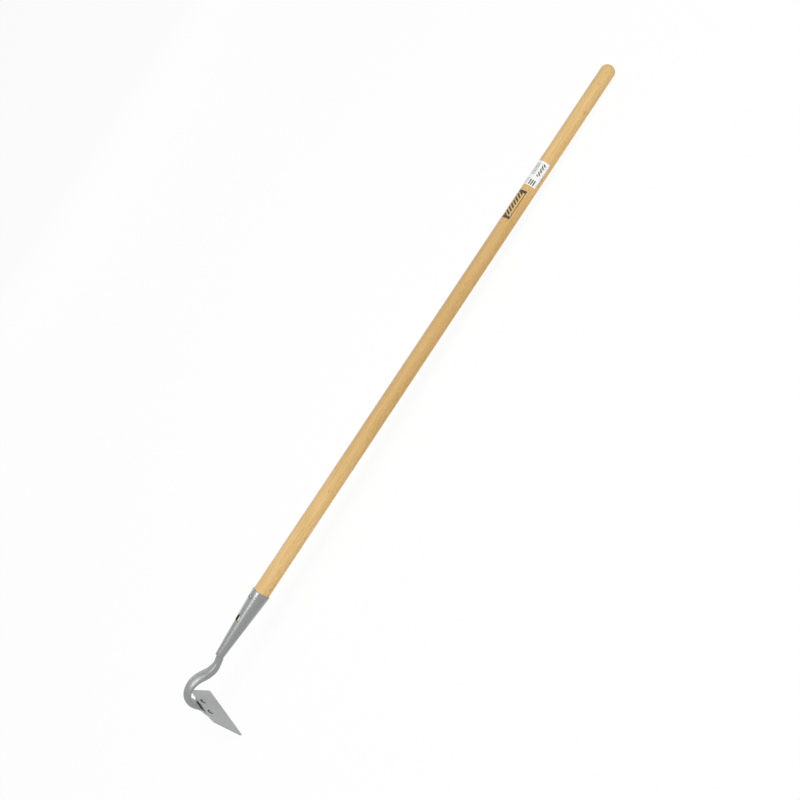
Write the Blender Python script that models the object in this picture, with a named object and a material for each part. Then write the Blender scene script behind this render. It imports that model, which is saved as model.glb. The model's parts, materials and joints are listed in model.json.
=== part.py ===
# Trapezoid hoe, in metres, +Z up. It lies as it rests on a floor: on its cutting edge and on the
# butt of its handle. The origin is the middle of the cutting edge, +X runs along the handle to
# its butt, and Y runs across the blade.
#
# Every piece is modelled in the handle's own frame, which hoe_frame carries. There x = 0 is the
# socket's mouth, +x runs up the handle, the blade hangs on the -z side and the back is +z.

from math import asin, atan2, ceil, cos, hypot, pi, radians, sin, sqrt, tan

import bmesh
import bpy
from mathutils import Matrix, Vector

GAP = 0.0003  # between pieces that touch

# Ash handle, with a turned taper that fills the socket
HANDLE_LENGTH = 1.266
HANDLE_DIAMETER = 0.0310
BUTT_DIAMETER = 0.0293
BUTT_DOME = 0.0125
HANDLE_CHAMFER = 0.0015
HANDLE_FIT = 0.0004
HANDLE_END_CLEARANCE = 0.0100  # from the handle's end to the neck's spigot

# Rolled conical socket
SOCKET_LENGTH = 0.1312
SOCKET_WALL = 0.0016
MOUTH_CLEARANCE = 0.0005
SOCKET_SLIM_DIAMETER = 0.0161
RIM_ROUND = 0.0005
SIGHT_HOLE_PLACE = 0.0575  # from the mouth
SIGHT_HOLE_WIDTH = 0.0108
SIGHT_HOLE_POINT = 0.0025  # how far its tip, towards the mouth, runs past a round hole
SIGHT_HOLE_SHARPNESS = 4

# Round-head screw that pins the handle, through the back of the socket
SCREW_PLACE = 0.0140  # from the mouth
SCREW_HEAD_DIAMETER = 0.0088
SCREW_HEAD_HEIGHT = 0.0024
SCREW_SHANK_DIAMETER = 0.0040
SCREW_LENGTH = 0.0190
SCREW_POINT = 0.0050
SCREW_SLOT_WIDTH = 0.0010
SCREW_SLOT_DEPTH = 0.0009

# Forged neck: a root offset to the blade's side, thrown back as a square bar and then bent
# round to the blade as a lozenge
SPIGOT_LENGTH = 0.0250
SPIGOT_FIT = 0.0004
NECK_DIAMETER = 0.0138
NECK_OFFSET = 0.0023
NECK_TOE = radians(16.4)
NECK_LEAD = 0.0089
WAIST = 0.0113  # width and thickness where the throw starts
THROW_RADIUS = 0.0304
THROW_ANGLE = radians(41.7)
THROW_RUN = 0.0115
THROW_SQUARE_RUN = 0.0200  # length of the throw that has a square section
THROW_WIDTH = 0.0157
THROW_THICKNESS = 0.0138
CROOK_RADIUS = 0.0299
CROOK_WIDTH = 0.0240
CROOK_THICKNESS = 0.0150
CROOK_MIDDLE_WIDTH = 0.0220
CROOK_MIDDLE_THICKNESS = 0.0120
STEM_WIDTH = 0.0200
STEM_THICKNESS = 0.0110
STEM_SHOULDER = 0.0030  # how far the stem's middle stands in from the tang's
STEM_RUNOUT = 0.0030  # from the end of that shoulder to the blade
ROOT_SQUARENESS = 2.0  # powers of the sections' curves: 2 is an ellipse, and more is squarer
THROW_SQUARENESS = 4.2
CROOK_SQUARENESS = 1.75
STEM_SQUARENESS = 4.0
TANG_SQUARENESS = 8.0
HOLLOW_DEPTH = 0.0048  # scoop in the stem's inner side, at the blade's back edge
HOLLOW_WALL = 0.0015  # thickness left there
HOLLOW_WIDTH = 0.0250
HOLLOW_RUN = 0.0075  # length at full depth, up to the blade's back edge
HOLLOW_RUNOUT = 0.0085  # from the blade's back edge to the flat of the tang

# Fishtail tang, flat on the blade's outer face
TANG_REACH = 0.0153
TANG_END_MARGIN = 0.0118  # past the rivets' middles
TANG_SIDE_MARGIN = 0.0144
TANG_THICKNESS = 0.0032
TANG_RIM = 0.0018
TANG_FLARE_START = 0.0064  # before the blade's back edge
TANG_FLARE_END = 0.0058  # past it
TANG_END_ROUND = 0.0120

# Blade
BLADE_ANGLE = radians(90)  # between the handle and the blade
BLADE_EDGE_WIDTH = 0.140
BLADE_BACK_WIDTH = 0.0945
BLADE_HEIGHT = 0.0583
BLADE_THICKNESS = 0.0020
BACK_CORNER_RADIUS = 0.0065
EDGE_CORNER_RADIUS = 0.0030
EDGE_LAND = 0.0010
EDGE_BEVEL = 0.0060
EDGE_SPARE = 0.0001  # ground off where the land meets the floor

# Two rivets through the tang and the blade
RIVET_SPACING = 0.0322
RIVET_FROM_BACK = 0.0142
RIVET_DIAMETER = 0.0060
RIVET_CLEARANCE = 0.0003
RIVET_HEAD_DIAMETER = 0.0120
RIVET_HEAD_HEIGHT = 0.0034
PEENED_DIAMETER = 0.0088
PEENED_HEIGHT = 0.0007

# Paper label round the back of the handle
LABEL_FROM_BUTT = 0.2590  # to the label's middle
LABEL_LENGTH = 0.0535
LABEL_WRAP = radians(166)
LABEL_THICKNESS = 0.0003

ROUND_STEPS = 64
SHAFT_STEPS = 12
BUTT_STEPS = 8
HOLE_STEPS = 32
HEAD_STEPS = 7
PEENED_STEPS = 4
LABEL_STEPS = 24
SLOPE_ROUNDS = 20
NECK_RING_STEPS = 28
NECK_STATION = 0.0024  # length of the neck between two rings
TANG_STATION = 0.0010  # the same along the rounded end of the tang
NECK_SPARE = 0.0040  # sawn off square where the neck meets the socket
CORNER_STEPS = 8
MERGE_DISTANCE = 1e-6
SHARP_ANGLE = radians(35)
BLADE_SHARP_ANGLE = radians(10)

# Surfaces: colour, roughness and metallic share
ASH = ((0.73, 0.48, 0.21), 0.50, 0.0)
SILVER_PAINT = ((0.36, 0.37, 0.37), 0.38, 0.35)
BRIGHT_STEEL = ((0.55, 0.55, 0.54), 0.35, 1.0)
PAPER = ((0.86, 0.86, 0.83), 0.70, 0.0)

HANDLE_IN_SOCKET = SOCKET_LENGTH + GAP - SPIGOT_LENGTH - HANDLE_END_CLEARANCE
HANDLE_OUTSIDE = HANDLE_LENGTH - HANDLE_IN_SOCKET
MOUTH_RADIUS = HANDLE_DIAMETER / 2 + MOUTH_CLEARANCE + SOCKET_WALL
SLIM_RADIUS = SOCKET_SLIM_DIAMETER / 2
CONE_SLOPE = (MOUTH_RADIUS - SLIM_RADIUS) / SOCKET_LENGTH
SCREW_HOLE_DIAMETER = SCREW_SHANK_DIAMETER + 2 * GAP
TANG_OVERLAP = RIVET_FROM_BACK + TANG_END_MARGIN
TANG_WIDTH = RIVET_SPACING + 2 * TANG_SIDE_MARGIN
HOLLOW_BULGE = max(0.0, HOLLOW_DEPTH + HOLLOW_WALL - TANG_THICKNESS)


def cone_radius(x):
    """Outer radius of the socket at x, which is negative inside it."""
    return MOUTH_RADIUS + CONE_SLOPE * x


def bore_radius(x):
    return cone_radius(x) - SOCKET_WALL


def wood_radius(x):
    """Radius of the handle at x: the socket's bore less the fit, and no more than the shaft."""
    if x > 0:
        return (HANDLE_DIAMETER + (BUTT_DIAMETER - HANDLE_DIAMETER) * x / HANDLE_OUTSIDE) / 2
    return min(HANDLE_DIAMETER / 2, bore_radius(x) - HANDLE_FIT)


# The neck's middle line, in the plane of symmetry. A heading of 0 runs from the socket straight
# on, and a positive heading turns to the blade's side.


def neck_line():
    """Returns (distance, x, z, heading) stations to the end of the tang. The socket's end is at 0."""
    tang_heading = pi - BLADE_ANGLE
    legs = [
        (NECK_SPARE + NECK_LEAD, NECK_TOE, NECK_STATION),
        (THROW_RADIUS * (NECK_TOE + THROW_ANGLE), -THROW_ANGLE, NECK_STATION),
        (THROW_RUN, -THROW_ANGLE, NECK_STATION),
        (CROOK_RADIUS * (THROW_ANGLE + tang_heading), tang_heading, NECK_STATION),
        (TANG_REACH + TANG_OVERLAP - TANG_END_ROUND, tang_heading, NECK_STATION),
        (TANG_END_ROUND, tang_heading, TANG_STATION),
    ]
    distance, heading = -NECK_SPARE, NECK_TOE
    x = NECK_END + NECK_SPARE * cos(NECK_TOE)
    z = -NECK_OFFSET + NECK_SPARE * sin(NECK_TOE)
    stations = [(distance, x, z, heading)]
    for length, end_heading, station in legs:
        steps = max(1, ceil(length / station))
        turn = (end_heading - heading) / steps
        for _ in range(steps):
            x -= length / steps * cos(heading + turn / 2)
            z -= length / steps * sin(heading + turn / 2)
            heading += turn
            distance += length / steps
            stations.append((distance, x, z, heading))
    return stations


NECK_END = -SOCKET_LENGTH - GAP
NECK_LINE = neck_line()
CROOK_START = NECK_LEAD + THROW_RADIUS * (NECK_TOE + THROW_ANGLE) + THROW_RUN
TANG_START = CROOK_START + CROOK_RADIUS * (THROW_ANGLE + pi - BLADE_ANGLE)
SQUARE_END = NECK_LEAD + THROW_SQUARE_RUN
CROOK_MIDDLE = (CROOK_START + TANG_START) / 2
BLADE_START = TANG_START + TANG_REACH
TANG_END = BLADE_START + TANG_OVERLAP


def along(heading):
    return Vector((-cos(heading), 0, -sin(heading)))


def inward(heading):
    """Square to the heading, to the side of the bend that the handle and the blade lie on."""
    return Vector((sin(heading), 0, -cos(heading)))


# The blade's frame: its origin is the middle of the back edge on the outer face, down points to
# the cutting edge and through points to the inner face.
LAST = NECK_LINE[-1]
DOWN = along(LAST[3])
THROUGH = inward(LAST[3])
BLADE_BACK = Vector((LAST[1], 0, LAST[2])) - DOWN * TANG_OVERLAP + THROUGH * (TANG_THICKNESS / 2 + GAP)
EDGE_MIDDLE = BLADE_BACK + DOWN * BLADE_HEIGHT + THROUGH * (BLADE_THICKNESS - EDGE_LAND / 2)


def blade_matrix():
    """Local x across the blade, local y down to its edge, local z through it to the inner face."""
    columns = Matrix((DOWN.cross(THROUGH), DOWN, THROUGH)).transposed()
    return Matrix.Translation(BLADE_BACK) @ columns.to_4x4()


def resting_slope():
    """Angle of the handle to the floor, with the edge and the domed butt both on the floor."""
    reach = HANDLE_OUTSIDE - BUTT_DOME - EDGE_MIDDLE.x
    drop = -EDGE_MIDDLE.z
    slope = 0.0
    for _ in range(SLOPE_ROUNDS):
        touch = hypot(BUTT_DOME * sin(slope), BUTT_DIAMETER / 2 * cos(slope))
        slope = atan2(drop, reach) - asin(touch / hypot(drop, reach))
    return slope


SLOPE = resting_slope()


# Shapes


def clear_scene():
    for thing in list(bpy.data.objects):
        bpy.data.objects.remove(thing)


def mesh_object(name, shape, frame=None):
    """Makes an object of a bmesh, hung on the hoe's frame."""
    bmesh.ops.recalc_face_normals(shape, faces=shape.faces)
    mesh = bpy.data.meshes.new(name)
    shape.to_mesh(mesh)
    shape.free()
    made = bpy.data.objects.new(name, mesh)
    bpy.context.scene.collection.objects.link(made)
    made.parent = frame
    return made


def finish(thing, look, sharp=SHARP_ANGLE):
    """Gives a piece its own material, and smooth shading up to the sharp angle."""
    colour, roughness, metallic = look
    surface = bpy.data.materials.new(thing.name)
    surface.use_nodes = True
    shader = surface.node_tree.nodes["Principled BSDF"]
    shader.inputs["Base Color"].default_value = (*colour, 1)
    shader.inputs["Roughness"].default_value = roughness
    shader.inputs["Metallic"].default_value = metallic
    thing.data.materials.append(surface)
    thing.data.shade_smooth()
    thing.data.set_sharp_from_angle(angle=sharp)


def turned(profile, steps=ROUND_STEPS):
    """Spins (x, radius) points round the x axis. An end point of radius 0 closes as a pole."""
    shape = bmesh.new()
    points = [shape.verts.new((x, 0, radius)) for x, radius in profile]
    edges = [shape.edges.new(pair) for pair in zip(points, points[1:])]
    bmesh.ops.spin(
        shape, geom=points + edges, axis=(1, 0, 0), cent=(0, 0, 0), angle=2 * pi, steps=steps
    )
    bmesh.ops.remove_doubles(shape, verts=shape.verts, dist=MERGE_DISTANCE)
    return shape


def ring_loft(rings):
    """Closes a row of rings, each with as many points, into one skin with flat ends."""
    shape = bmesh.new()
    rows = [[shape.verts.new(point) for point in ring] for ring in rings]
    count = len(rows[0])
    for row, following in zip(rows, rows[1:]):
        for i in range(count):
            j = (i + 1) % count
            shape.faces.new((row[i], row[j], following[j], following[i]))
    shape.faces.new(rows[0])
    shape.faces.new(rows[-1])
    return shape


def extruded(outline, bottom, top):
    """Prism over a closed outline of (x, y) points."""
    return ring_loft([[(x, y, z) for x, y in outline] for z in (bottom, top)])


def cylinder(diameter, start, end):
    """Rod along its own z axis."""
    angles = [2 * pi * i / HOLE_STEPS for i in range(HOLE_STEPS)]
    outline = [(diameter / 2 * cos(angle), diameter / 2 * sin(angle)) for angle in angles]
    return extruded(outline, start, end)


def rounded_corner(corner, before, after, radius):
    """Points of the arc that rounds one corner of an outline."""
    to_before = (before - corner).normalized()
    to_after = (after - corner).normalized()
    half = to_before.angle(to_after) / 2
    centre = corner + (to_before + to_after).normalized() * (radius / sin(half))
    first = (corner + to_before * (radius / tan(half)) - centre).normalized()
    last = (corner + to_after * (radius / tan(half)) - centre).normalized()
    return [centre + first.slerp(last, i / CORNER_STEPS) * radius for i in range(CORNER_STEPS + 1)]


def boolean(thing, other, operation):
    """Cuts other from thing, or joins it to thing. Other stays in the file as a hidden guide."""
    other.parent = thing.parent
    other.hide_render = True
    other.display_type = "WIRE"
    step = thing.modifiers.new(other.name, "BOOLEAN")
    step.object = other
    step.operation = operation
    step.solver = "EXACT"


def dome(diameter, height, steps=HEAD_STEPS):
    """(height, radius) points of a shallow round head, from its rim to its pole."""
    ball = (diameter * diameter / 4 + height * height) / (2 * height)
    spread = asin(min(1.0, diameter / 2 / ball))
    if height > diameter / 2:
        spread = pi - spread
    angles = [spread * (1 - i / steps) for i in range(steps + 1)]
    return [(ball * cos(angle) - ball + height, ball * sin(angle)) for angle in angles]


# Pieces


def make_handle(frame):
    """Shaft with a slight taper, a domed butt and a turned cone inside the socket."""
    inner_end = -HANDLE_IN_SOCKET
    taper_start = (HANDLE_DIAMETER / 2 + SOCKET_WALL + HANDLE_FIT - MOUTH_RADIUS) / CONE_SLOPE
    profile = [
        (inner_end, 0),
        (inner_end, wood_radius(inner_end) - HANDLE_CHAMFER),
        (inner_end + HANDLE_CHAMFER, wood_radius(inner_end + HANDLE_CHAMFER)),
        (min(0.0, taper_start), wood_radius(min(0.0, taper_start))),
    ]
    dome_base = HANDLE_OUTSIDE - BUTT_DOME
    for i in range(1, SHAFT_STEPS):
        x = dome_base * i / SHAFT_STEPS
        profile.append((x, wood_radius(x)))
    for i in range(BUTT_STEPS):
        angle = pi / 2 * i / BUTT_STEPS
        profile.append((dome_base + BUTT_DOME * sin(angle), BUTT_DIAMETER / 2 * cos(angle)))
    profile.append((HANDLE_OUTSIDE, 0))
    handle = mesh_object("handle", turned(profile), frame)
    hole = cylinder(SCREW_HOLE_DIAMETER, -SCREW_LENGTH - GAP, SOCKET_WALL)
    pilot = mesh_object("pilot_hole", hole)
    pilot.matrix_local = screw_matrix()
    boolean(handle, pilot, "DIFFERENCE")
    finish(handle, ASH)


def make_socket(frame):
    """Conical tube with rounded rims, a sight hole and a screw hole in its back."""
    slim_end = -SOCKET_LENGTH
    profile = [
        (0, MOUTH_RADIUS - SOCKET_WALL),
        (0, MOUTH_RADIUS - RIM_ROUND),
        (-RIM_ROUND, cone_radius(-RIM_ROUND)),
        (slim_end + RIM_ROUND, cone_radius(slim_end + RIM_ROUND)),
        (slim_end, SLIM_RADIUS - RIM_ROUND),
        (slim_end, SLIM_RADIUS - SOCKET_WALL),
        (0, MOUTH_RADIUS - SOCKET_WALL),
    ]
    socket = mesh_object("socket", turned(profile), frame)

    outline = []
    for i in range(HOLE_STEPS):
        angle = 2 * pi * i / HOLE_STEPS
        reach = SIGHT_HOLE_WIDTH / 2 + SIGHT_HOLE_POINT * max(0.0, cos(angle)) ** SIGHT_HOLE_SHARPNESS
        outline.append((reach * cos(angle) - SIGHT_HOLE_PLACE, reach * sin(angle)))
    sight = mesh_object("sight_hole", extruded(outline, 0, MOUTH_RADIUS * 2))
    boolean(socket, sight, "DIFFERENCE")

    hole = cylinder(SCREW_HOLE_DIAMETER, -SOCKET_WALL * 2, SOCKET_WALL * 2)
    screw_hole = mesh_object("screw_hole", hole)
    screw_hole.matrix_local = screw_matrix()
    boolean(socket, screw_hole, "DIFFERENCE")
    finish(socket, SILVER_PAINT)


def screw_matrix():
    """Local z leaves the back of the socket square to its wall, from the outer surface."""
    place = Vector((-SCREW_PLACE, 0, cone_radius(-SCREW_PLACE)))
    outward = Vector((-CONE_SLOPE, 0, 1)).normalized()
    lean = Vector((0, 0, 1)).rotation_difference(outward)
    return Matrix.Translation(place) @ lean.to_matrix().to_4x4()


def upright(shape):
    """Turns a shape spun round the x axis so that its axis is z."""
    shape.transform(Matrix.Rotation(-pi / 2, 4, "Y"))
    return shape


def make_screw(frame):
    """Round head with a slot, on a plain shank that runs to a point in the wood."""
    shank = SCREW_SHANK_DIAMETER / 2
    profile = [(-SCREW_LENGTH, 0), (SCREW_POINT - SCREW_LENGTH, shank), (GAP, shank)]
    profile += [(GAP + height, radius) for height, radius in dome(SCREW_HEAD_DIAMETER, SCREW_HEAD_HEIGHT)]
    screw = mesh_object("socket_screw", upright(turned(profile, HOLE_STEPS)), frame)
    screw.matrix_local = screw_matrix()
    half_length, half_width = SCREW_HEAD_DIAMETER, SCREW_SLOT_WIDTH / 2
    corners = [
        (-half_length, -half_width),
        (half_length, -half_width),
        (half_length, half_width),
        (-half_length, half_width),
    ]
    top = GAP + SCREW_HEAD_HEIGHT
    slot = mesh_object("screw_slot", extruded(corners, top - SCREW_SLOT_DEPTH, top * 2))
    slot.matrix_local = screw_matrix()
    boolean(screw, slot, "DIFFERENCE")
    finish(screw, BRIGHT_STEEL)


def eased(distance, stops):
    """Reads a value that eases between (distance, value) stops."""
    for (start, first), (end, second) in zip(stops, stops[1:]):
        if distance <= end:
            break
    share = min(1.0, max(0.0, (distance - start) / (end - start)))
    return first + (second - first) * share * share * (3 - 2 * share)


def neck_width(distance):
    width = eased(
        distance,
        [
            (0.0, NECK_DIAMETER),
            (NECK_LEAD, WAIST),
            (SQUARE_END, THROW_WIDTH),
            (CROOK_START, CROOK_WIDTH),
            (CROOK_MIDDLE, CROOK_MIDDLE_WIDTH),
            (TANG_START, STEM_WIDTH),
            (max(TANG_START, BLADE_START - TANG_FLARE_START), STEM_WIDTH),
            (BLADE_START + TANG_FLARE_END, TANG_WIDTH),
        ],
    )
    past = max(0.0, distance - (TANG_END - TANG_END_ROUND))
    return width - 2 * (TANG_END_ROUND - sqrt(max(0.0, TANG_END_ROUND**2 - past**2)))


def neck_ring(distance, x, z, heading):
    """Section of the neck: round, then square, a lozenge, a scooped stem and a flat plate."""
    runout = BLADE_START - STEM_RUNOUT
    thickness = eased(
        distance,
        [
            (0.0, NECK_DIAMETER),
            (NECK_LEAD, WAIST),
            (SQUARE_END, THROW_THICKNESS),
            (CROOK_START, CROOK_THICKNESS),
            (CROOK_MIDDLE, CROOK_MIDDLE_THICKNESS),
            (TANG_START, STEM_THICKNESS),
            (runout, TANG_THICKNESS),
        ],
    )
    shoulder = eased(distance, [(CROOK_MIDDLE, 0.0), (TANG_START, STEM_SHOULDER), (runout, 0.0)])
    power = 2 / eased(
        distance,
        [
            (0.0, ROOT_SQUARENESS),
            (NECK_LEAD, THROW_SQUARENESS),
            (SQUARE_END, THROW_SQUARENESS),
            (CROOK_START, CROOK_SQUARENESS),
            (CROOK_MIDDLE, CROOK_SQUARENESS),
            (TANG_START, STEM_SQUARENESS),
            (BLADE_START, TANG_SQUARENESS),
        ],
    )
    half_width = neck_width(distance) / 2
    run_start = BLADE_START - HOLLOW_RUN
    run_end = BLADE_START + HOLLOW_RUNOUT
    hollow = eased(distance, [(CROOK_MIDDLE, 0.0), (run_start, 1.0), (BLADE_START, 1.0), (run_end, 0.0)])
    hollow_reach = min(half_width, HOLLOW_WIDTH / 2)
    rivet_reach = (RIVET_SPACING + RIVET_HEAD_DIAMETER) / 2
    ring = []
    for i in range(NECK_RING_STEPS):
        angle = 2 * pi * i / NECK_RING_STEPS
        side = half_width * abs(cos(angle)) ** power * (1 if cos(angle) > 0 else -1)
        depth = thickness / 2 * abs(sin(angle)) ** power * (1 if sin(angle) > 0 else -1)
        if depth < 0:
            wing = (abs(side) - rivet_reach) / (TANG_WIDTH / 2 - rivet_reach)
            depth += (TANG_THICKNESS - TANG_RIM) * max(0.0, wing)
        cup = hollow * max(0.0, 1 - (side / hollow_reach) ** 2)
        depth -= cup * (HOLLOW_DEPTH if sin(angle) > 0 else HOLLOW_BULGE)
        ring.append(Vector((x, side, z)) + inward(heading) * (depth + shoulder))
    return ring


def make_neck(frame):
    """Gooseneck with a tapered spigot in the socket and a fishtail tang behind the blade."""
    shape = ring_loft([neck_ring(*station) for station in NECK_LINE])
    ground_off(shape, Vector((NECK_END, 0, 0)), Vector((1, 0, 0)))
    neck = mesh_object("neck", shape, frame)
    start = NECK_END - GAP
    end = NECK_END + SPIGOT_LENGTH
    end_radius = bore_radius(end) - SPIGOT_FIT
    profile = [
        (start, 0),
        (start, bore_radius(start) - SPIGOT_FIT),
        (end - RIM_ROUND, end_radius),
        (end, end_radius - RIM_ROUND),
        (end, 0),
    ]
    boolean(neck, mesh_object("spigot", turned(profile, NECK_RING_STEPS)), "UNION")
    for side in (-1, 1):
        cut_rivet_hole(neck, side, "tang_hole")
    finish(neck, SILVER_PAINT)


def rivet_matrix(side):
    """Middle of a rivet's hole on the blade's outer face, with local z through the blade."""
    return blade_matrix() @ Matrix.Translation((side * RIVET_SPACING / 2, RIVET_FROM_BACK, 0))


def cut_rivet_hole(thing, side, name):
    reach = TANG_THICKNESS * 2
    hole = mesh_object(name, cylinder(RIVET_DIAMETER + 2 * RIVET_CLEARANCE, -reach, reach))
    boolean(thing, hole, "DIFFERENCE")
    hole.matrix_local = rivet_matrix(side)


def floor_lean():
    """Angle between the floor and the square end of the blade."""
    return SLOPE + BLADE_ANGLE - pi / 2


def blade_outline():
    """Trapezoid with rounded corners, in the blade's frame, run past the edge for grinding."""
    spread = (BLADE_EDGE_WIDTH - BLADE_BACK_WIDTH) / 2 / BLADE_HEIGHT
    height = BLADE_HEIGHT + EDGE_SPARE + EDGE_LAND / 2 * abs(tan(floor_lean()))
    half_edge = BLADE_BACK_WIDTH / 2 + spread * height
    corners = [
        (Vector((-BLADE_BACK_WIDTH / 2, 0)), BACK_CORNER_RADIUS),
        (Vector((BLADE_BACK_WIDTH / 2, 0)), BACK_CORNER_RADIUS),
        (Vector((half_edge, height)), EDGE_CORNER_RADIUS),
        (Vector((-half_edge, height)), EDGE_CORNER_RADIUS),
    ]
    outline = []
    for i, (corner, radius) in enumerate(corners):
        before = corners[i - 1][0]
        after = corners[(i + 1) % len(corners)][0]
        outline += rounded_corner(corner, before, after, radius)
    return outline


def ground_off(shape, place, normal):
    """Cuts away what lies on the normal's side of a plane, and closes the cut."""
    geometry = shape.verts[:] + shape.edges[:] + shape.faces[:]
    cut = bmesh.ops.bisect_plane(
        shape, geom=geometry, plane_co=place, plane_no=normal, clear_outer=True, dist=MERGE_DISTANCE
    )
    rim = [part for part in cut["geom_cut"] if isinstance(part, bmesh.types.BMEdge)]
    bmesh.ops.edgeloop_fill(shape, edges=rim)


def make_blade(frame):
    """Plate ground on its outer face, with a narrow land that lies flat on the floor."""
    shape = extruded(blade_outline(), 0, BLADE_THICKNESS)
    land = BLADE_THICKNESS - EDGE_LAND
    grind = Vector((0, land, -EDGE_BEVEL)).normalized()
    ground_off(shape, Vector((0, BLADE_HEIGHT, land)), grind)
    floor_normal = Vector((0, cos(floor_lean()), sin(floor_lean())))
    ground_off(shape, Vector((0, BLADE_HEIGHT, BLADE_THICKNESS - EDGE_LAND / 2)), floor_normal)
    blade = mesh_object("blade", shape, frame)
    blade.matrix_local = blade_matrix()
    for side in (-1, 1):
        cut_rivet_hole(blade, side, "blade_hole")
    finish(blade, SILVER_PAINT, BLADE_SHARP_ANGLE)


def make_rivet(frame, side, name):
    """Round head on the tang, and a low peened end on the blade's inner face."""
    head_seat = -(TANG_THICKNESS + 2 * GAP)
    peened_seat = BLADE_THICKNESS + GAP
    shank = RIVET_DIAMETER / 2
    head = [(head_seat - height, radius) for height, radius in dome(RIVET_HEAD_DIAMETER, RIVET_HEAD_HEIGHT)]
    low_dome = dome(PEENED_DIAMETER, PEENED_HEIGHT, PEENED_STEPS)
    peened = [(peened_seat + height, radius) for height, radius in low_dome]
    profile = head[::-1] + [(head_seat, shank), (peened_seat, shank)] + peened
    rivet = mesh_object(name, upright(turned(profile, HOLE_STEPS)), frame)
    rivet.matrix_local = rivet_matrix(side)
    finish(rivet, SILVER_PAINT)


def make_label(frame):
    """Thin shell that follows the handle over its back."""
    rings = []
    for end in (-1, 1):
        x = HANDLE_OUTSIDE - LABEL_FROM_BUTT + end * LABEL_LENGTH / 2
        inner = wood_radius(x) + GAP
        outer = inner + LABEL_THICKNESS
        angles = [LABEL_WRAP * (i / LABEL_STEPS - 0.5) for i in range(LABEL_STEPS + 1)]
        ring = [(x, outer * sin(a), outer * cos(a)) for a in angles]
        ring += [(x, inner * sin(a), inner * cos(a)) for a in reversed(angles)]
        rings.append(ring)
    finish(mesh_object("handle_label", ring_loft(rings), frame), PAPER)


def make_frame():
    """Empty that lays the handle's frame in the resting pose, with the edge at the origin."""
    frame = bpy.data.objects.new("hoe_frame", None)
    bpy.context.scene.collection.objects.link(frame)
    lay = Matrix.Rotation(SLOPE, 4, "Y")
    frame.matrix_world = Matrix.Translation(-(lay @ EDGE_MIDDLE)) @ lay
    return frame


def main():
    clear_scene()
    frame = make_frame()
    make_handle(frame)
    make_socket(frame)
    make_screw(frame)
    make_neck(frame)
    make_blade(frame)
    for side, name in ((-1, "rivet_left"), (1, "rivet_right")):
        make_rivet(frame, side, name)
    make_label(frame)


main()
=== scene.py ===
import json
import math

import bpy
from mathutils import Matrix, Vector

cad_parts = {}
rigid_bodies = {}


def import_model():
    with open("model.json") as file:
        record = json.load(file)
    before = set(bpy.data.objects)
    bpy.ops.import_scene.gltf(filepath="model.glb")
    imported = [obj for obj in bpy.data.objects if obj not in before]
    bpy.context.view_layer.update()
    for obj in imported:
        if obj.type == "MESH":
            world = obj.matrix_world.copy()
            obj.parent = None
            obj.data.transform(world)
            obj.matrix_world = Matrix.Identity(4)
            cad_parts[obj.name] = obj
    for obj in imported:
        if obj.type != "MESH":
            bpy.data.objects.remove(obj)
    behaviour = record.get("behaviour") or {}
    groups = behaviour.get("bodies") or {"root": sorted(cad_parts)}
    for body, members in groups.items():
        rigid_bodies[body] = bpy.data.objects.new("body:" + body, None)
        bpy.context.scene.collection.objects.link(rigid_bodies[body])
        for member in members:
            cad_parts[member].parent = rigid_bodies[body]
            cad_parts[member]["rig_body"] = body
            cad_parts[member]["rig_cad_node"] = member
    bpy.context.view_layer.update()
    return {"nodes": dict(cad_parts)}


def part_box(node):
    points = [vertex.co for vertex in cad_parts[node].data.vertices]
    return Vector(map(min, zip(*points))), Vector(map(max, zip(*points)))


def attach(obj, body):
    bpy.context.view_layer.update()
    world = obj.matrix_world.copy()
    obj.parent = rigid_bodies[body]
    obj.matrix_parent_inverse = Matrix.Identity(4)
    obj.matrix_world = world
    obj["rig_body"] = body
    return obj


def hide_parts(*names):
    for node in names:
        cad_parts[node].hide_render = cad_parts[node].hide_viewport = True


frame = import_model()
bpy.context.scene.view_settings.view_transform = "Standard"

# The handle's own frame: x runs up the handle from the middle of the socket's mouth,
# +z is the back of the hoe, and the blade hangs on the -z side.
lay = {
    "mouth": (0.228046, 0.0, 0.074859),
    "slope": 2.9832,  # degrees that the handle falls towards its butt
}
layMatrix = Matrix.Translation(lay["mouth"]) @ Matrix.Rotation(math.radians(lay["slope"]), 4, "Y")
handleOutside = (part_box("handle")[1].x - lay["mouth"][0]) / math.cos(math.radians(lay["slope"]))
print("frame loaded, handle", round(handleOutside, 4), "m from the socket to its tip")


# Modelling by hand: small steps that the pieces share

def pickOnly(piece):
    bpy.ops.object.select_all(action="DESELECT")
    piece.select_set(True)
    bpy.context.view_layer.objects.active = piece


def startEdit(piece, kind="VERT"):
    pickOnly(piece)
    bpy.ops.object.mode_set(mode="EDIT")
    bpy.ops.mesh.select_mode(type=kind)
    bpy.ops.mesh.select_all(action="DESELECT")


def endEdit():
    bpy.ops.object.mode_set(mode="OBJECT")


def choose(piece, kind, test):
    # leaves edit mode open with the vertices, edges or faces selected that pass the test
    startEdit(piece, kind)
    endEdit()
    mesh = piece.data
    if kind == "VERT":
        for vertex in mesh.vertices:
            vertex.select = test(vertex.co)
    elif kind == "EDGE":
        for edge in mesh.edges:
            ends = [mesh.vertices[i].co for i in edge.vertices]
            edge.select = test(ends[0], ends[1])
    else:
        for face in mesh.polygons:
            face.select = test(face.center, face.normal)
    bpy.ops.object.mode_set(mode="EDIT")


def applyModifier(piece, kind, **settings):
    pickOnly(piece)
    bpy.ops.object.modifier_add(type=kind)
    modifier = piece.modifiers[-1]
    for name, value in settings.items():
        setattr(modifier, name, value)
    bpy.ops.object.modifier_apply(modifier=modifier.name)


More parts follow.
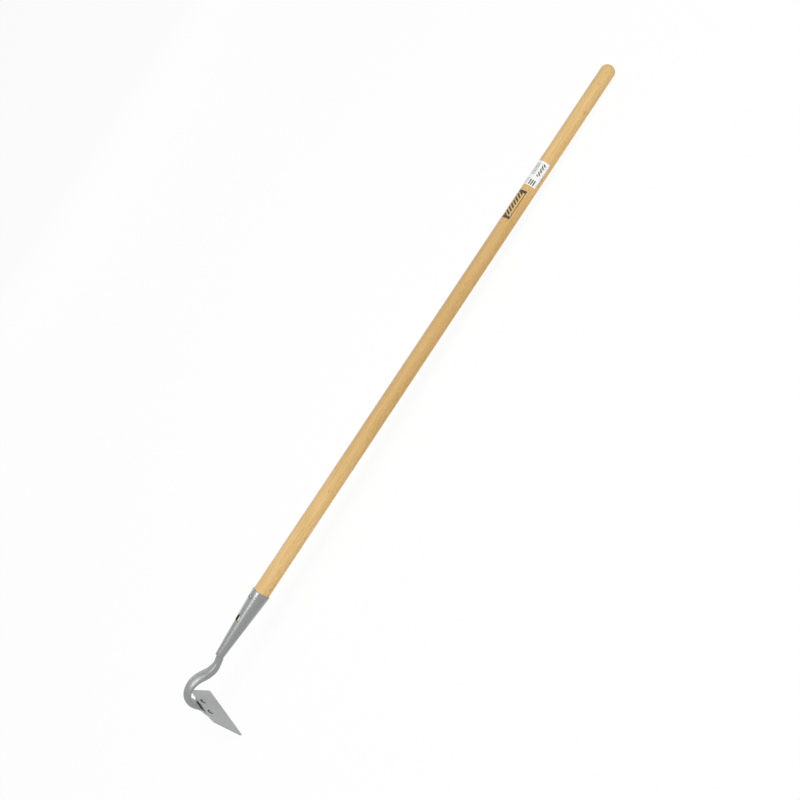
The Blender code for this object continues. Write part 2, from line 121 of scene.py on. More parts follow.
def grindAway(piece, place, normal):
    # a flat cut that takes off what lies on the normal's side
    startEdit(piece)
    bpy.ops.mesh.select_all(action="SELECT")
    outwards = Vector(normal).normalized()
    bpy.ops.mesh.bisect(plane_co=place, plane_no=outwards, use_fill=True, clear_outer=True, threshold=1e-6)
    endEdit()


def cutAway(piece, cutter):
    applyModifier(piece, "BOOLEAN", operation="DIFFERENCE", solver="EXACT", object=cutter)
    bpy.data.objects.remove(cutter)


def turnProfile(name, profile, sides):
    # a plane melted to one point is drawn along the profile (x, radius), then spun round the x axis
    bpy.ops.object.select_all(action="DESELECT")
    bpy.ops.mesh.primitive_plane_add(size=0.01, location=(0, 0, 0))
    piece = bpy.context.object
    piece.name = name
    bpy.ops.object.mode_set(mode="EDIT")
    bpy.ops.mesh.select_mode(type="VERT")
    bpy.ops.mesh.select_all(action="SELECT")
    bpy.ops.mesh.merge(type="CENTER")
    bpy.ops.transform.translate(value=(profile[0][0], 0, profile[0][1]))
    for (x, radius), (nextX, nextRadius) in zip(profile, profile[1:]):
        step = (nextX - x, 0, nextRadius - radius)
        bpy.ops.mesh.extrude_region_move(TRANSFORM_OT_translate={"value": step})
    bpy.ops.mesh.select_all(action="SELECT")
    bpy.ops.mesh.spin(steps=sides, angle=math.tau, center=(0, 0, 0), axis=(1, 0, 0))
    bpy.ops.mesh.select_all(action="SELECT")
    bpy.ops.mesh.remove_doubles(threshold=2e-6)
    bpy.ops.mesh.normals_make_consistent(inside=False)
    endEdit()
    return piece


def placePiece(piece, matrix):
    pickOnly(piece)
    piece.matrix_world = matrix
    bpy.ops.object.transform_apply(location=True, rotation=True, scale=True)


def finishPiece(piece, node, finish, sharpAngle=35, matrix=layMatrix):
    # lays a piece in the hoe's place, smooths it and lets it stand for its CAD node
    placePiece(piece, matrix)
    bpy.ops.object.shade_smooth_by_angle(angle=math.radians(sharpAngle))
    piece.data.materials.clear()
    piece.data.materials.append(finish.material)
    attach(piece, "root")
    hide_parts(node)
    print(piece.name, "made,", len(piece.data.polygons), "faces")


# Materials: sums of values are written as sums, and any other node comes from Finish.node

class Value:
    def __init__(self, finish, socket):
        self.finish = finish
        self.socket = socket

    def combine(self, operation, first, second):
        return self.finish.node("Math", {"operation": operation}, {0: first, 1: second})

    def __add__(self, other):
        return self.combine("ADD", self, other)

    def __sub__(self, other):
        return self.combine("SUBTRACT", self, other)

    def __rsub__(self, other):
        return self.combine("SUBTRACT", other, self)

    def __mul__(self, other):
        return self.combine("MULTIPLY", self, other)

    def __truediv__(self, other):
        return self.combine("DIVIDE", self, other)

    def __pow__(self, other):
        return self.combine("POWER", self, other)

    def __abs__(self):
        return self.finish.node("Math", {"operation": "ABSOLUTE"}, {0: self})

    __radd__ = __add__
    __rmul__ = __mul__


class Finish:
    def __init__(self, name):
        self.material = bpy.data.materials.new(name)
        self.material.use_nodes = True
        self.tree = self.material.node_tree
        self.shader = self.tree.nodes["Principled BSDF"]

    def feed(self, socket, value):
        if isinstance(value, Value):
            self.tree.links.new(value.socket, socket)
        else:
            socket.default_value = value

    def node(self, kind, settings=None, inputs=None, output=0):
        made = self.tree.nodes.new("ShaderNode" + kind)
        for name, value in (settings or {}).items():
            setattr(made, name, value)
        for name, value in (inputs or {}).items():
            self.feed(made.inputs[name], value)
        return Value(self, made.outputs[output])

    def set(self, **values):
        # a socket's name is written without its spaces
        for socket in self.shader.inputs:
            if socket.name.replace(" ", "") in values:
                self.feed(socket, values[socket.name.replace(" ", "")])

    def lay(self):
        # the surface's place in the handle's own frame
        back = layMatrix.inverted()
        inputs = {
            "Vector": self.node("TexCoord", output="Object"),
            "Location": back.translation,
            "Rotation": back.to_euler(),
        }
        return self.node("Mapping", {"vector_type": "POINT"}, inputs)

    def parts(self, vector):
        return [self.node("SeparateXYZ", inputs={0: vector}, output=i) for i in range(3)]

    def stretched(self, vector, scale):
        return self.node("Mapping", {"vector_type": "POINT"}, {"Vector": vector, "Scale": scale})

    def noise(self, vector, scale, detail=2.0, roughness=0.5):
        inputs = {"Vector": vector, "Scale": scale, "Detail": detail, "Roughness": roughness}
        return self.node("TexNoise", inputs=inputs)

    def between(self, value, low, high):
        # 0 below low, 1 above high and a soft step between
        inputs = {"Value": value, "From Min": low, "From Max": high}
        return self.node("MapRange", {"interpolation_type": "SMOOTHSTEP"}, inputs)

    def blend(self, mask, first, second):
        first = (*first, 1) if isinstance(first, tuple) else first
        second = (*second, 1) if isinstance(second, tuple) else second
        return self.node("Mix", {"data_type": "RGBA"}, {0: mask, 6: first, 7: second}, output=2)

    def bump(self, height, strength, distance):
        return self.node("Bump", inputs={"Height": height, "Strength": strength, "Distance": distance})

    def seen(self):
        # 1 where the camera, a gloss or a glass looks, and 0 for light that spreads
        kinds = ("Is Camera Ray", "Is Glossy Ray", "Is Transmission Ray")
        return sum(self.node("LightPath", output=kind) for kind in kinds)


class Surroundings(Finish):
    # the world's own nodes
    def __init__(self, name):
        self.world = bpy.data.worlds.new(name)
        self.world.use_nodes = True
        self.tree = self.world.node_tree


# Ash: straight grain along the handle, pale gold with peach streaks and fine darker pores

ashLook = {
    "gold": (0.64, 0.42, 0.148),
    "peach": (0.75, 0.50, 0.216),
    "late": (0.81, 0.57, 0.25),
    "pale": (0.88, 0.66, 0.42),
    "flush": (0.84, 0.50, 0.20),
    "ripe": (0.49, 0.29, 0.088),
    "pore": (0.42, 0.24, 0.07),
    "print": (0.020, 0.008, 0.003),
    "shade": (0.012, 0.009, 0.006),
    "ringStep": 0.0026,
    "pith": (0.031, -0.046),
    # where each colour fades in or out, up the handle
    "ripeFrom": (0.10, 0.45),
    "ripeTo": (0.72, 1.00),
    "flushTo": (0.02, 0.11),
    "bareTo": (-0.040, -0.015),
    "shadeReach": (0.0085, 0.0100),  # each way from the middle of the sight hole
    # and across it
    "flushFlank": (-0.002, 0.010),
    "shadeFlank": (0.0008, 0.0020),
    # the printed band, by its places up the handle
    "printStart": 0.8081,
    "printEnd": 0.8710,
    "printTurn": 17,  # degrees from the middle of the back
    "printHalfWidth": 0.0080,
    "printLine": 0.0013,
    "printBlock": 0.0055,
    "printPitch": 0.0074,
    "printSlant": 0.7,
    "printSoft": 0.0002,
}


def makeAsh(name):
    finish = Finish(name)
    look = ashLook
    place = finish.lay()
    x, y, z = finish.parts(place)

    bend = finish.noise(finish.stretched(place, (5, 30, 30)), 1.0, 2.0) - 0.5
    ripple = finish.noise(finish.stretched(place, (22, 180, 180)), 1.0, 2.0) - 0.5
    side = y - look["pith"][0] + bend * 0.010
    depth = z - look["pith"][1] + bend * 0.006
    ring = (side * side + depth * depth) ** 0.5 / look["ringStep"] + ripple * 0.5
    early = finish.node("Math", {"operation": "FRACT"}, {0: ring})
    lateWood = finish.between(early, 0.35, 0.9) * (1 - finish.between(early, 0.93, 1.0))

    streaks = finish.noise(finish.stretched(place, (9, 150, 150)), 1.0, 3.0, 0.6)
    fibre = finish.noise(finish.stretched(place, (60, 2600, 2600)), 1.0, 3.0, 0.6)
    pores = finish.noise(finish.stretched(place, (160, 4200, 4200)), 1.0, 2.0, 0.5)
    poreMask = finish.between(pores, 0.60, 0.70) * (1 - lateWood)
    specks = finish.between(finish.noise(finish.stretched(place, (90, 160, 160)), 1.0, 0.0), 0.78, 0.82)

    tone = finish.blend(finish.between(streaks, 0.36, 0.66), look["gold"], look["peach"])
    tone = finish.blend(lateWood * 0.30, tone, look["late"])
    tone = finish.blend(finish.between(fibre, 0.35, 0.75) * 0.22, tone, look["pore"])
    tone = finish.blend(poreMask * 0.55, tone, look["pore"])
    tone = finish.blend(specks * 0.5, tone, look["pore"])

    # a riper colour half way along
    ripe = finish.between(x, *look["ripeFrom"]) * (1 - finish.between(x, *look["ripeTo"]))
    tone = finish.blend(ripe * 0.58, tone, look["ripe"])

    # a warmer flank near the socket, and pale bare wood inside it
    warm = finish.between(y, *look["flushFlank"]) * (1 - finish.between(x, *look["flushTo"]))
    tone = finish.blend(warm * 0.45, tone, look["flush"])
    tone = finish.blend(1 - finish.between(x, *look["bareTo"]), tone, look["pale"])

    # a plain printed band beside the back of the handle: dark ends, slanting bars and one long line
    turn = finish.node("Math", {"operation": "ARCTAN2"}, {0: 0 - y, 1: z})
    over = (turn - math.radians(look["printTurn"])) * shaftRadius(look["printStart"])
    middle = (look["printStart"] + look["printEnd"]) / 2
    halfLength = (look["printEnd"] - look["printStart"]) / 2
    along = abs(x - middle)
    soft = look["printSoft"]
    half, line = look["printHalfWidth"], look["printLine"]
    inside = finish.between(over, -half - soft, -half) * (1 - finish.between(over, half - soft, half))
    inside = inside * (1 - finish.between(along, halfLength - soft, halfLength))
    blockStart = halfLength - look["printBlock"]
    ends = finish.between(along, blockStart - soft, blockStart)
    edge = finish.between(over, half - line - soft, half - line)
    row = (x + over * look["printSlant"]) / look["printPitch"] + 40
    slant = finish.node("Math", {"operation": "FRACT"}, {0: row})
    bars = finish.between(slant, 0.42, 0.46) * (1 - finish.between(over, half - line * 4, half - line * 3.6))
    ink = finish.node("Math", {"operation": "MAXIMUM"}, {0: ends, 1: bars})
    ink = finish.node("Math", {"operation": "MAXIMUM"}, {0: ink, 1: edge}) * inside
    rubbed = finish.noise(finish.stretched(place, (400, 1500, 1500)), 1.0, 2.0)
    worn = 1 - finish.between(rubbed, 0.62, 0.68) * 0.2
    tone = finish.blend(ink * worn * 0.98, tone, look["print"])

    # deep shade under the left of the sight hole
    beside = abs(x + socketSizes["holePlace"])
    shade = finish.between(y, *look["shadeFlank"]) * (1 - finish.between(beside, *look["shadeReach"]))
    tone = finish.blend(shade * 0.97, tone, look["shade"])

    grainHeight = fibre * 0.4 - poreMask * 1.0 + lateWood * 0.3
    finish.set(
        BaseColor=tone,
        Roughness=0.50 + fibre * 0.10 + poreMask * 0.12,
        Normal=finish.bump(grainHeight, 0.25, 0.0002),
        SpecularIORLevel=0.45,
        SheenWeight=0.15,
        SheenRoughness=0.5,
        SheenTint=(1.0, 0.94, 0.82, 1),
        CoatWeight=0.04,
        CoatRoughness=0.40,
    )
    return finish


# Silver-grey paint on steel: a fine flake, a slight orange peel, and painted shade with dirt round the
# rivets

paintLook = {
    "base": (0.282, 0.294, 0.290),
    "light": (0.330, 0.340, 0.335),
    "flake": (0.470, 0.480, 0.470),
    "dark": (0.090, 0.094, 0.090),
    "pale": (0.420, 0.432, 0.425),
    # painted shade and dirt beside the rivets
    "grime": (0.018, 0.018, 0.016),
    "metal": 0.55,
    "mottle": 0.25,
    # a painted highlight: the pale band below the blade's back edge
    "rubbed": (-0.00187, -0.00087),  # below the blade's back edge
    # two round patches: how far across and up from the rivet, and the radii over which each fades
    "dirtyRound": (-0.0006, 0.0026, 0.0058, 0.0066),
    "cleanRound": (0.0012, -0.0016, 0.0040, 0.0048),
}


def shadeAndDirtMask(finish, place):
    # painted shade and dirt beside the two rivets' peened ends, darker on the side towards the blade's back
    # edge: one round patch less another
    y, z = finish.parts(place)[1:]
    side = finish.node("Math", {"operation": "SIGN"}, {0: y})
    across = y - side * (rivetSizes["spacing"] / 2)
    up = z - (bladeSizes["back"] - rivetSizes["fromBack"])
    ragged = (finish.noise(place, 420.0, 2.0) - 0.5) * 0.0022

    def outside(toAcross, toUp, near, far):
        squares = (across - toAcross) * (across - toAcross) + (up - toUp) * (up - toUp)
        return finish.between(squares ** 0.5 + ragged, near, far)

    return (1 - outside(*paintLook["dirtyRound"])) * outside(*paintLook["cleanRound"])


def makePaint(name, stretch=(60, 200, 200), rough=0.34, tone=1.0, coat=0.0, rim=False, withShadeAndDirt=False):
    finish = Finish(name)
    place = finish.lay()
    cloud = finish.noise(finish.stretched(place, stretch), 1.0, 3.0, 0.55)
    flake = finish.noise(place, 5200.0, 1.0)
    peel = finish.noise(place, 900.0, 2.0, 0.5)
    nicks = finish.between(finish.noise(finish.stretched(place, (700, 900, 900)), 1.0, 2.0), 0.77, 0.82)
    base = tuple(share * tone for share in paintLook["base"])
    light = tuple(share * tone for share in paintLook["light"])
    colour = finish.blend(finish.between(cloud, 0.30, 0.70) * paintLook["mottle"], base, light)
    colour = finish.blend(finish.between(flake, 0.55, 0.75) * 0.08, colour, paintLook["flake"])
    colour = finish.blend(nicks * 0.35, colour, paintLook["dark"])
    roughness = rough + (cloud - 0.5) * 0.10 + nicks * 0.2
    shine = paintLook["metal"]
    if rim:
        # a painted highlight: a pale band just below the blade's back edge
        height = finish.parts(place)[2] - bladeSizes["back"] + (cloud - 0.5) * 0.0012
        colour = finish.blend(finish.between(height, *paintLook["rubbed"]) * 0.7, colour, paintLook["pale"])
    if withShadeAndDirt:
        # painted shade and dirt beside the rivets' ends
        grime = shadeAndDirtMask(finish, place)
        colour = finish.blend(grime * 0.95, colour, paintLook["grime"])
        roughness = roughness + grime * 0.3
        shine = shine * (1 - grime)
    finish.set(
        BaseColor=colour,
        Metallic=shine,
        Roughness=roughness,
        Normal=finish.bump(peel + flake * 0.10, 0.03, 0.00012),
        CoatWeight=coat,
        CoatRoughness=0.24,
    )
    return finish


# Zinc on the screw: dull and faintly scratched

zincLook = {
    "dull": (0.20, 0.205, 0.205),
    "bright": (0.31, 0.315, 0.31),
}


def makeZinc(name):
    finish = Finish(name)
    place = finish.lay()
    cloud = finish.noise(place, 700.0, 3.0, 0.6)
    scratch = finish.noise(finish.stretched(place, (9000, 300, 900)), 1.0, 2.0)
    tone = finish.blend(finish.between(cloud, 0.3, 0.7), zincLook["dull"], zincLook["bright"])
    finish.set(
        BaseColor=tone,
        Metallic=0.8,
        Roughness=0.40 + scratch * 0.2,
        Normal=finish.bump(scratch, 0.2, 0.0001),
    )
    return finish


# Handle: a turned shaft with a slight taper, a domed butt and a cone inside the socket

handleSizes = {
    "radius": 0.0155,
    "buttRadius": 0.01465,
    "inside": 0.0965,
    "dome": 0.0125,
    "chamfer": 0.0015,
    "fit": 0.0004,
    "slack": 0.0009,  # round the sight hole
    "slackReach": 0.012,
    "clearOfMouth": 0.004,  # from the last ring inside to the socket's mouth
    "insideRings": 24,
    "rings": 40,
    "domeRings": 14,
    "sides": 128,
}
socketSizes = {
    "length": 0.1312,
    "mouthRadius": 0.0176,
    "slimRadius": 0.00805,
    "wall": 0.0016,
    "rim": 0.0006,
    "rimSteps": 4,
    "rings": 12,
    "sides": 192,
    "holePlace": 0.0575,
    "holeRadius": 0.0054,
    "holePoint": 0.0025,
    "holePull": 0.0045,  # how much of the hole its point takes along
    "holeSides": 64,
}
coneSlope = (socketSizes["mouthRadius"] - socketSizes["slimRadius"]) / socketSizes["length"]


def coneRadius(x):
    return socketSizes["mouthRadius"] + coneSlope * x


def shaftRadius(x):
    taper = handleSizes["buttRadius"] - handleSizes["radius"]
    if x > 0:
        return handleSizes["radius"] + taper * x / handleOutside
    # a little looser round the sight hole
    apart = (x + socketSizes["holePlace"]) / handleSizes["slackReach"]
    loose = math.exp(-(apart ** 2)) * handleSizes["slack"]
    return min(handleSizes["radius"], coneRadius(x) - socketSizes["wall"] - handleSizes["fit"] - loose)


def makeHandle(finish):
    sizes = handleSizes
    start = -sizes["inside"]
    profile = [(start, 0.0), (start, shaftRadius(start) - sizes["chamfer"])]
    domeBase = handleOutside - sizes["dome"]
    stops = [start + sizes["chamfer"]]
    count, clear = sizes["insideRings"], sizes["clearOfMouth"]
    stops += [start + (sizes["inside"] - clear) * i / count for i in range(1, count)]
    stops += [-clear, 0.0]
    stops += [domeBase * i / sizes["rings"] for i in range(1, sizes["rings"])]
    profile += [(x, shaftRadius(x)) for x in stops]
    for i in range(sizes["domeRings"]):
        angle = math.pi / 2 * i / sizes["domeRings"]
        profile.append((domeBase + sizes["dome"] * math.sin(angle), sizes["buttRadius"] * math.cos(angle)))
    profile.append((handleOutside, 0.0))
    handle = turnProfile("ash_handle", profile, sizes["sides"])
    finishPiece(handle, "handle", finish)


# Socket: a cone of sheet steel with a pointed sight hole in its back

def makeSocket(finish):
    sizes = socketSizes
    wall, rim = sizes["wall"], sizes["rim"]
    mouth, slim, end = sizes["mouthRadius"], sizes["slimRadius"], -sizes["length"]
    profile = [(0.0, mouth - wall), (0.0, mouth - rim)]
    for i in range(1, sizes["rimSteps"] + 1):
        angle = math.pi / 2 * i / sizes["rimSteps"]
        profile.append((rim * (math.cos(angle) - 1), mouth - rim + rim * math.sin(angle) - coneSlope * rim))
    for i in range(1, sizes["rings"]):
        x = end * i / sizes["rings"]
        profile.append((x, coneRadius(x)))
    for i in range(sizes["rimSteps"] + 1):
        angle = math.pi / 2 * i / sizes["rimSteps"]
        profile.append((end + rim - rim * math.sin(angle), slim - rim + rim * math.cos(angle)))
    profile += [(end, slim - wall), (0.0, mouth - wall)]
    socket = turnProfile("steel_socket", profile, sizes["sides"])

    bpy.ops.object.select_all(action="DESELECT")
    bpy.ops.mesh.primitive_cylinder_add(
        vertices=sizes["holeSides"],
        radius=sizes["holeRadius"],
        depth=mouth * 2,
        location=(-sizes["holePlace"], 0, mouth),
    )
    punch = bpy.context.object
    pickOnly(punch)
    bpy.ops.object.transform_apply(location=True, rotation=True, scale=True)
    tip = sizes["holeRadius"] - sizes["holePlace"]
    choose(punch, "VERT", lambda place: place.x > tip - 5e-5)
    bpy.ops.transform.translate(
        value=(sizes["holePoint"], 0, 0),
        use_proportional_edit=True,
        proportional_edit_falloff="SHARP",
        proportional_size=sizes["holePull"],
    )
    endEdit()
    cutAway(socket, punch)
    finishPiece(socket, "socket", finish)


# Screw: a slotted round head that pins the handle through the back of the socket

screwSizes = {
    "place": 0.0140,
    "headRadius": 0.0044,
    "headHeight": 0.0024,
    "shankRadius": 0.0020,
    "length": 0.0190,
    "point": 0.0050,
    "slotWidth": 0.0010,
    "slotDepth": 0.0009,
    "gap": 0.0003,
    "rings": 10,
    "sides": 64,
}


def domeProfile(seat, radius, height, rings):
    ball = (radius * radius + height * height) / (2 * height)
    spread = math.asin(min(1.0, radius / ball))
    angles = [spread * (1 - i / rings) for i in range(rings + 1)]
    return [(seat + ball * math.cos(angle) - ball + height, ball * math.sin(angle)) for angle in angles]


def makeScrew(finish):
    sizes = screwSizes
    gap, shank = sizes["gap"], sizes["shankRadius"]
    profile = [(-sizes["length"], 0.0), (sizes["point"] - sizes["length"], shank), (gap, shank)]
    profile += domeProfile(gap, sizes["headRadius"], sizes["headHeight"], sizes["rings"])
    screw = turnProfile("socket_screw_head", profile, sizes["sides"])
    bpy.ops.object.select_all(action="DESELECT")
    top = gap + sizes["headHeight"]
    bpy.ops.mesh.primitive_cube_add(size=1, location=(top, 0, 0))
    slot = bpy.context.object
    slot.scale = (sizes["slotDepth"] * 2, sizes["slotWidth"], sizes["headRadius"] * 4)
    cutAway(screw, slot)
    place = Vector((-sizes["place"], 0, coneRadius(-sizes["place"])))
    turn = Vector((1, 0, 0)).rotation_difference(Vector((-coneSlope, 0, 1)))
    matrix = layMatrix @ Matrix.Translation(place) @ turn.to_matrix().to_4x4()
    finishPiece(screw, "socket_screw", finish, matrix=matrix)


# Neck: forged in one with the tang, worked smooth from the CAD's faceted bar

neckSizes = {
    "voxel": 0.00045,
    "smoothing": 6,
}


def makeNeck(finish):
    pickOnly(frame["nodes"]["neck"])
    bpy.ops.object.duplicate()
    neck = bpy.context.object
    neck.name = "forged_neck"
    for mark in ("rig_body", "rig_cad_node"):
        del neck[mark]
    bpy.ops.object.parent_clear(type="CLEAR_KEEP_TRANSFORM")
    startEdit(neck)
    bpy.ops.mesh.select_all(action="SELECT")
    bpy.ops.mesh.remove_doubles(threshold=2e-6)
    bpy.ops.mesh.tris_convert_to_quads(face_threshold=math.radians(25), shape_threshold=math.radians(40))
    bpy.ops.mesh.select_all(action="DESELECT")
    bpy.ops.mesh.select_mode(type="EDGE")
    bpy.ops.mesh.edges_select_sharp(sharpness=math.radians(38))
    bpy.ops.transform.edge_crease(value=1)
    endEdit()
    applyModifier(neck, "SUBSURF", levels=2, render_levels=2)
    applyModifier(neck, "REMESH", mode="VOXEL", voxel_size=neckSizes["voxel"])
    applyModifier(neck, "SMOOTH", factor=0.5, iterations=neckSizes["smoothing"])
    finishPiece(neck, "neck", finish, sharpAngle=60, matrix=Matrix.Identity(4))


# Blade: a flat trapezoid with rounded corners, ground on its outer face

bladeSizes = {
    "outerFace": -0.225341,
    "back": -0.028326,
    "backWidth": 0.0945,
    "edgeWidth": 0.1398,  # a hair inside the bare solid's
    "height": 0.0583,
    "thickness": 0.0020,
    "backCorner": 0.0065,
    "edgeCorner": 0.0030,
    "cornerSteps": 12,
    "land": 0.0010,
    "grind": 0.0060,
    "spare": 0.0001,  # below the edge, ground off again
    "worn": 0.00005,
    "softEdge": 0.00022,
}
rivetSizes = {
    "spacing": 0.0322,
    "fromBack": 0.0142,
    "radius": 0.0030,
    "headRadius": 0.0060,
    "headHeight": 0.0034,
    "peenedRadius": 0.0044,
    "peenedHeight": 0.0007,
    "sinkRadius": 0.0049,
    "sinkDepth": 0.0009,
    "drill": 0.02,
    "tang": 0.0032,
    "gap": 0.0003,
    "rings": 10,
    "sides": 64,
}


def makeBlade(finish):
    sizes = bladeSizes
    edge = sizes["back"] - sizes["height"]
    slope = math.radians(lay["slope"])
    spare = sizes["spare"] + sizes["land"] / 2 * math.tan(slope)
    widening = (sizes["edgeWidth"] - sizes["backWidth"]) / sizes["height"]
    fullWidth = sizes["edgeWidth"] + widening * spare
    bpy.ops.object.select_all(action="DESELECT")
    bpy.ops.mesh.primitive_cube_add(size=1)
    blade = bpy.context.object
    blade.name = "hoe_blade"
    blade.scale = (sizes["thickness"], sizes["backWidth"], sizes["height"] + spare)
    middle = sizes["outerFace"] + sizes["thickness"] / 2
    blade.location = (middle, 0, (sizes["back"] + edge - spare) / 2)
    bpy.ops.object.transform_apply(location=True, rotation=True, scale=True)
    choose(blade, "VERT", lambda place: place.z < edge)
    bpy.ops.transform.resize(
        value=(1, fullWidth / sizes["backWidth"], 1), center_override=(middle, 0, edge - spare)
    )
    endEdit()
    lean = math.atan(widening / 2)
    corners = (
        (sizes["back"], sizes["backCorner"] * math.tan(math.pi / 4 - lean / 2)),
        (edge - spare, sizes["edgeCorner"] * math.tan(math.pi / 4 + lean / 2)),
    )
    for height, offset in corners:

        def acrossThickness(a, b):
            return max(abs(a.z - height), abs(b.z - height)) < 1e-5 and abs(a.x - b.x) > 1e-4

        choose(blade, "EDGE", acrossThickness)
        bpy.ops.mesh.bevel(offset=offset, segments=sizes["cornerSteps"], profile=0.5)
        endEdit()
    inner = sizes["outerFace"] + sizes["thickness"]
    land = sizes["land"]
    grindAway(blade, (inner - land, 0, edge), (-sizes["grind"], 0, land - sizes["thickness"]))
    ground = (inner - land / 2, 0, edge + sizes["worn"])
    grindAway(blade, ground, (-math.sin(slope), 0, -math.cos(slope)))
    hole = rivetSizes["radius"] + rivetSizes["gap"]
    widest, depth = rivetSizes["sinkRadius"], rivetSizes["sinkDepth"]
    row = sizes["back"] - rivetSizes["fromBack"]
    for side in (-1, 1):
        bpy.ops.object.select_all(action="DESELECT")
        bpy.ops.mesh.primitive_cylinder_add(
            vertices=rivetSizes["sides"],
            radius=hole,
            depth=rivetSizes["drill"],
            location=(middle, side * rivetSizes["spacing"] / 2, row),
            rotation=(0, math.pi / 2, 0),
        )
        cutAway(blade, bpy.context.object)
        # each hole is widened to a cone on the inner face
        bpy.ops.object.select_all(action="DESELECT")
        bpy.ops.mesh.primitive_cone_add(
            vertices=rivetSizes["sides"],
            radius1=hole,
            radius2=2 * widest - hole,
            depth=depth * 2,
            location=(inner, side * rivetSizes["spacing"] / 2, row),
            rotation=(0, math.pi / 2, 0),
        )
        cutAway(blade, bpy.context.object)
    soft, sharp = sizes["softEdge"], math.radians(25)
    applyModifier(blade, "BEVEL", width=soft, segments=2, limit_method="ANGLE", angle_limit=sharp)
    finishPiece(blade, "blade", finish, sharpAngle=20)


def makeRivets(finish):
    sizes = rivetSizes
    headSeat = -(sizes["tang"] + 2 * sizes["gap"])
    peenedSeat = bladeSizes["thickness"] - sizes["gap"]
    head = domeProfile(0.0, sizes["headRadius"], sizes["headHeight"], sizes["rings"])
    profile = [(headSeat - height, radius) for height, radius in reversed(head)]
    profile += [(headSeat, sizes["radius"]), (peenedSeat, sizes["radius"])]
    profile += domeProfile(peenedSeat, sizes["peenedRadius"], sizes["peenedHeight"], sizes["rings"])
    row = bladeSizes["back"] - sizes["fromBack"]
    for side, name in ((1, "left"), (-1, "right")):
        rivet = turnProfile("rivet_head_" + name, profile, sizes["sides"])
        place = (bladeSizes["outerFace"], side * sizes["spacing"] / 2, row)
        matrix = layMatrix @ Matrix.Translation(place)
        finishPiece(rivet, "rivet_" + name, finish, matrix=matrix)


# Label: thin paper round the back of the handle, with plain bars for print

labelSizes = {
    "middle": 0.9105,
    "length": 0.0535,
    "wrap": 166,  # degrees
    "lift": 0.00004,
    "thickness": 0.00016,
    "corner": 0.0006,
    "cornerSteps": 4,
    "sides": 130,
    "cuts": 23,
    "light": (0.86, 0.86, 0.86),
    "fibre": (0.80, 0.80, 0.79),
    "ink": (0.035, 0.04, 0.04),
}


def makePaper(name):
    finish = Finish(name)
    place = finish.lay()
    x, y, z = finish.parts(place)
    turn = finish.node("Math", {"operation": "ARCTAN2"}, {0: 0 - y, 1: z})
    over = turn * shaftRadius(labelSizes["middle"])
    along = x - (labelSizes["middle"] - labelSizes["length"] / 2)

    def block(startX, endX, startOver, endOver, soft=0.00015):
        mask = finish.between(along, startX - soft, startX + soft)
        mask = mask * (1 - finish.between(along, endX - soft, endX + soft))
        mask = mask * finish.between(over, startOver - soft, startOver + soft)
        return mask * (1 - finish.between(over, endOver - soft, endOver + soft))

    def stripes(value, pitch, share):
        part = finish.node("Math", {"operation": "FRACT"}, {0: value / pitch + 50})
        return 1 - finish.between(part, share - 0.05, share + 0.05)

    fibres = finish.noise(finish.stretched(place, (1200, 1200, 1200)), 1.0, 3.0, 0.6)
    ink = block(0.024, 0.049, -0.0050, 0.0045) * stripes(along, 0.0030, 0.55) * 0.62
    ink = ink + block(0.022, 0.049, 0.0092, 0.0150) * stripes(along + over, 0.0064, 0.60) * 0.95
    ink = ink + block(0.002, 0.0130, 0.0030, 0.0165) * stripes(over, 0.0042, 0.62) * 0.93
    ink = ink + block(0.002, 0.0150, -0.0100, 0.0005) * stripes(along, 0.0028, 0.5) * 0.6
    paper = finish.blend(finish.between(fibres, 0.3, 0.7), labelSizes["fibre"], labelSizes["light"])
    tone = finish.blend(ink, paper, labelSizes["ink"])
    finish.set(
        BaseColor=tone,
        Roughness=0.55 + fibres * 0.15,
        Normal=finish.bump(fibres, 0.1, 0.00005),
        CoatWeight=0.15,
        CoatRoughness=0.25,
    )
    return finish


def makeLabel(finish):
    sizes = labelSizes
    radius = shaftRadius(sizes["middle"]) + sizes["lift"]
    bpy.ops.object.select_all(action="DESELECT")
    bpy.ops.mesh.primitive_cylinder_add(
        vertices=sizes["sides"],
        radius=radius,
        depth=sizes["length"],
        end_fill_type="NOTHING",
        rotation=(0, math.pi / 2, 0),
    )
    label = bpy.context.object
    label.name = "paper_label"
    label.location = (sizes["middle"], 0, 0)
    bpy.ops.object.transform_apply(location=True, rotation=True, scale=True)
    reach = math.radians(sizes["wrap"] / 2)
    choose(label, "FACE", lambda place, normal: abs(math.atan2(place.y, place.z)) > reach)
    bpy.ops.mesh.delete(type="FACE")
    endEdit()
    choose(label, "EDGE", lambda a, b: abs(a.x - b.x) > 0.01)
    bpy.ops.mesh.subdivide(number_cuts=sizes["cuts"])
    endEdit()
    farthest = max(abs(math.atan2(vertex.co.y, vertex.co.z)) for vertex in label.data.vertices)

    def atCorner(place):
        past = abs(abs(place.x - sizes["middle"]) - sizes["length"] / 2)
        return past < 1e-5 and abs(math.atan2(place.y, place.z)) > farthest - 1e-3

    choose(label, "VERT", atCorner)
    bpy.ops.mesh.bevel(offset=sizes["corner"], segments=sizes["cornerSteps"], affect="VERTICES")
    endEdit()
    applyModifier(label, "SOLIDIFY", thickness=sizes["thickness"], offset=1.0)
    finishPiece(label, "handle_label", finish)


# Studio: pale floor, white surroundings, soft lamps, and the camera

studio = {
    "cameraPlace": (0.56998, -1.17274, 1.04813),
    "cameraTurn": (32.764, 38.935, -48.185),  # degrees
    "lens": 38.20,
    "aim": (0.75, 0.0, 0.06),
    "worldLight": 0.31,
    "floorSize": 30,
    "floorGlow": 0.94,
    "floorTone": 0.93,
    "lamps": {
        # angle to the left of the camera, seen along the handle; distance, width, length; watts
        "fill": (-33, 2.2, 0.30, 2.6, 10),
        "lowStrip": (28, 2.2, 0.30, 2.6, 20),
        "highStrip": (41, 2.2, 0.30, 2.6, 17),
        "top": (60, 2.4, 0.9, 2.6, 4),
        "back": (125, 2.4, 0.9, 2.6, 8),
    },
}


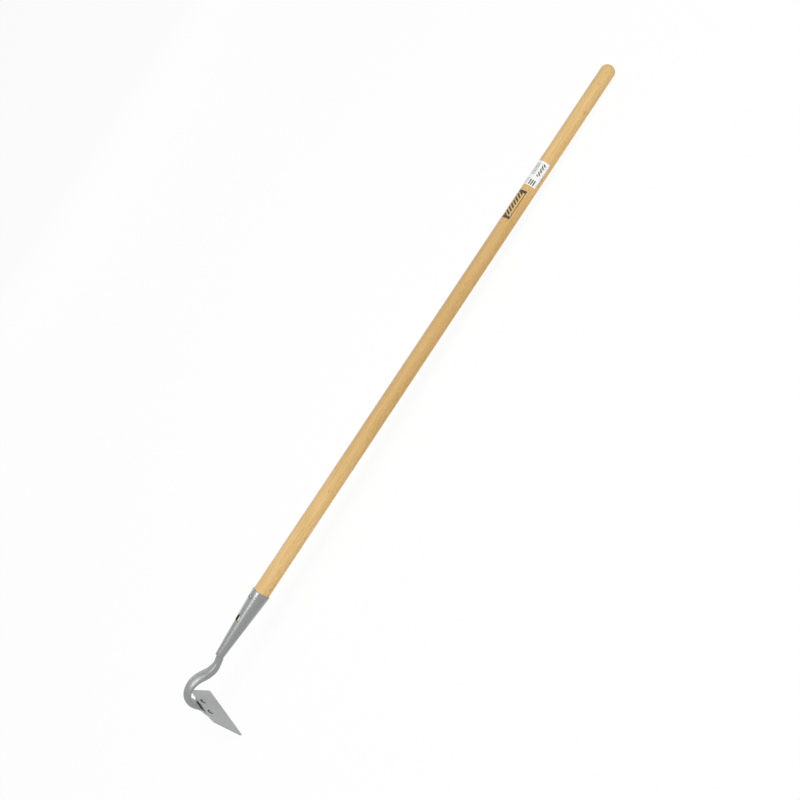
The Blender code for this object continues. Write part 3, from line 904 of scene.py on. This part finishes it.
def makeStudio():
    bpy.ops.object.select_all(action="DESELECT")
    bpy.ops.mesh.primitive_plane_add(size=studio["floorSize"], location=(0.6, 0, 0))
    floor = bpy.context.object
    floor.name = "floor"
    finish = Finish("pale floor")
    tone = studio["floorTone"]
    finish.set(BaseColor=(tone, tone, tone, 1), Roughness=0.9)
    glow = finish.node("Emission", inputs={"Color": (1, 1, 1, 1), "Strength": 1.0})
    shade = Value(finish, finish.shader.outputs[0])
    mixed = finish.node("MixShader", inputs={0: finish.seen() * studio["floorGlow"], 1: shade, 2: glow})
    finish.feed(finish.tree.nodes["Material Output"].inputs["Surface"], mixed)
    floor.data.materials.append(finish.material)

    white = Surroundings("white surroundings")
    background = white.tree.nodes["Background"]
    background.inputs["Color"].default_value = (1, 1, 1, 1)
    spread = studio["worldLight"]
    white.feed(background.inputs["Strength"], spread + white.seen() * (1 - spread))
    bpy.context.scene.world = white.world

    camera = bpy.data.objects.new("camera", bpy.data.cameras.new("camera"))
    bpy.context.scene.collection.objects.link(camera)
    camera.location = studio["cameraPlace"]
    camera.rotation_euler = [math.radians(angle) for angle in studio["cameraTurn"]]
    camera.data.lens = studio["lens"]
    camera.data.clip_end = studio["floorSize"] * 2
    bpy.context.scene.camera = camera

    aim = Vector(studio["aim"])
    axis = (layMatrix.to_3x3() @ Vector((1, 0, 0))).normalized()
    towards = camera.location - aim
    towards = (towards - axis * towards.dot(axis)).normalized()
    for name, (angle, distance, width, length, power) in studio["lamps"].items():
        direction = Matrix.Rotation(math.radians(-angle), 3, axis) @ towards
        lamp = bpy.data.objects.new(name, bpy.data.lights.new(name, "AREA"))
        bpy.context.scene.collection.objects.link(lamp)
        lamp.data.shape = "RECTANGLE"
        lamp.data.size = length
        lamp.data.size_y = width
        lamp.data.energy = power
        lamp.visible_glossy = name != "fill"  # the fill lifts the shaded side and leaves no streak
        basis = Matrix((axis, direction.cross(axis), direction)).transposed()
        lamp.matrix_world = Matrix.Translation(aim + direction * distance) @ basis.to_4x4()
    print("studio set")


ash = makeAsh("pale ash")
makeHandle(ash)
makeSocket(makePaint("socket paint", rough=0.31, tone=0.84, coat=1.0))
makeScrew(makeZinc("zinc plate"))
makeNeck(makePaint("neck paint", stretch=(120, 160, 160), rough=0.40))
# the blade's copy of the paint is toned lighter than the rest, a painted lift for light that its face does
# not get
makeBlade(makePaint("blade paint", stretch=(60, 90, 90), rough=0.42, tone=1.30, rim=True, withShadeAndDirt=True))
makeRivets(makePaint("rivet paint", stretch=(300, 300, 300), tone=1.1, withShadeAndDirt=True))
makeLabel(makePaper("label paper"))
makeStudio()
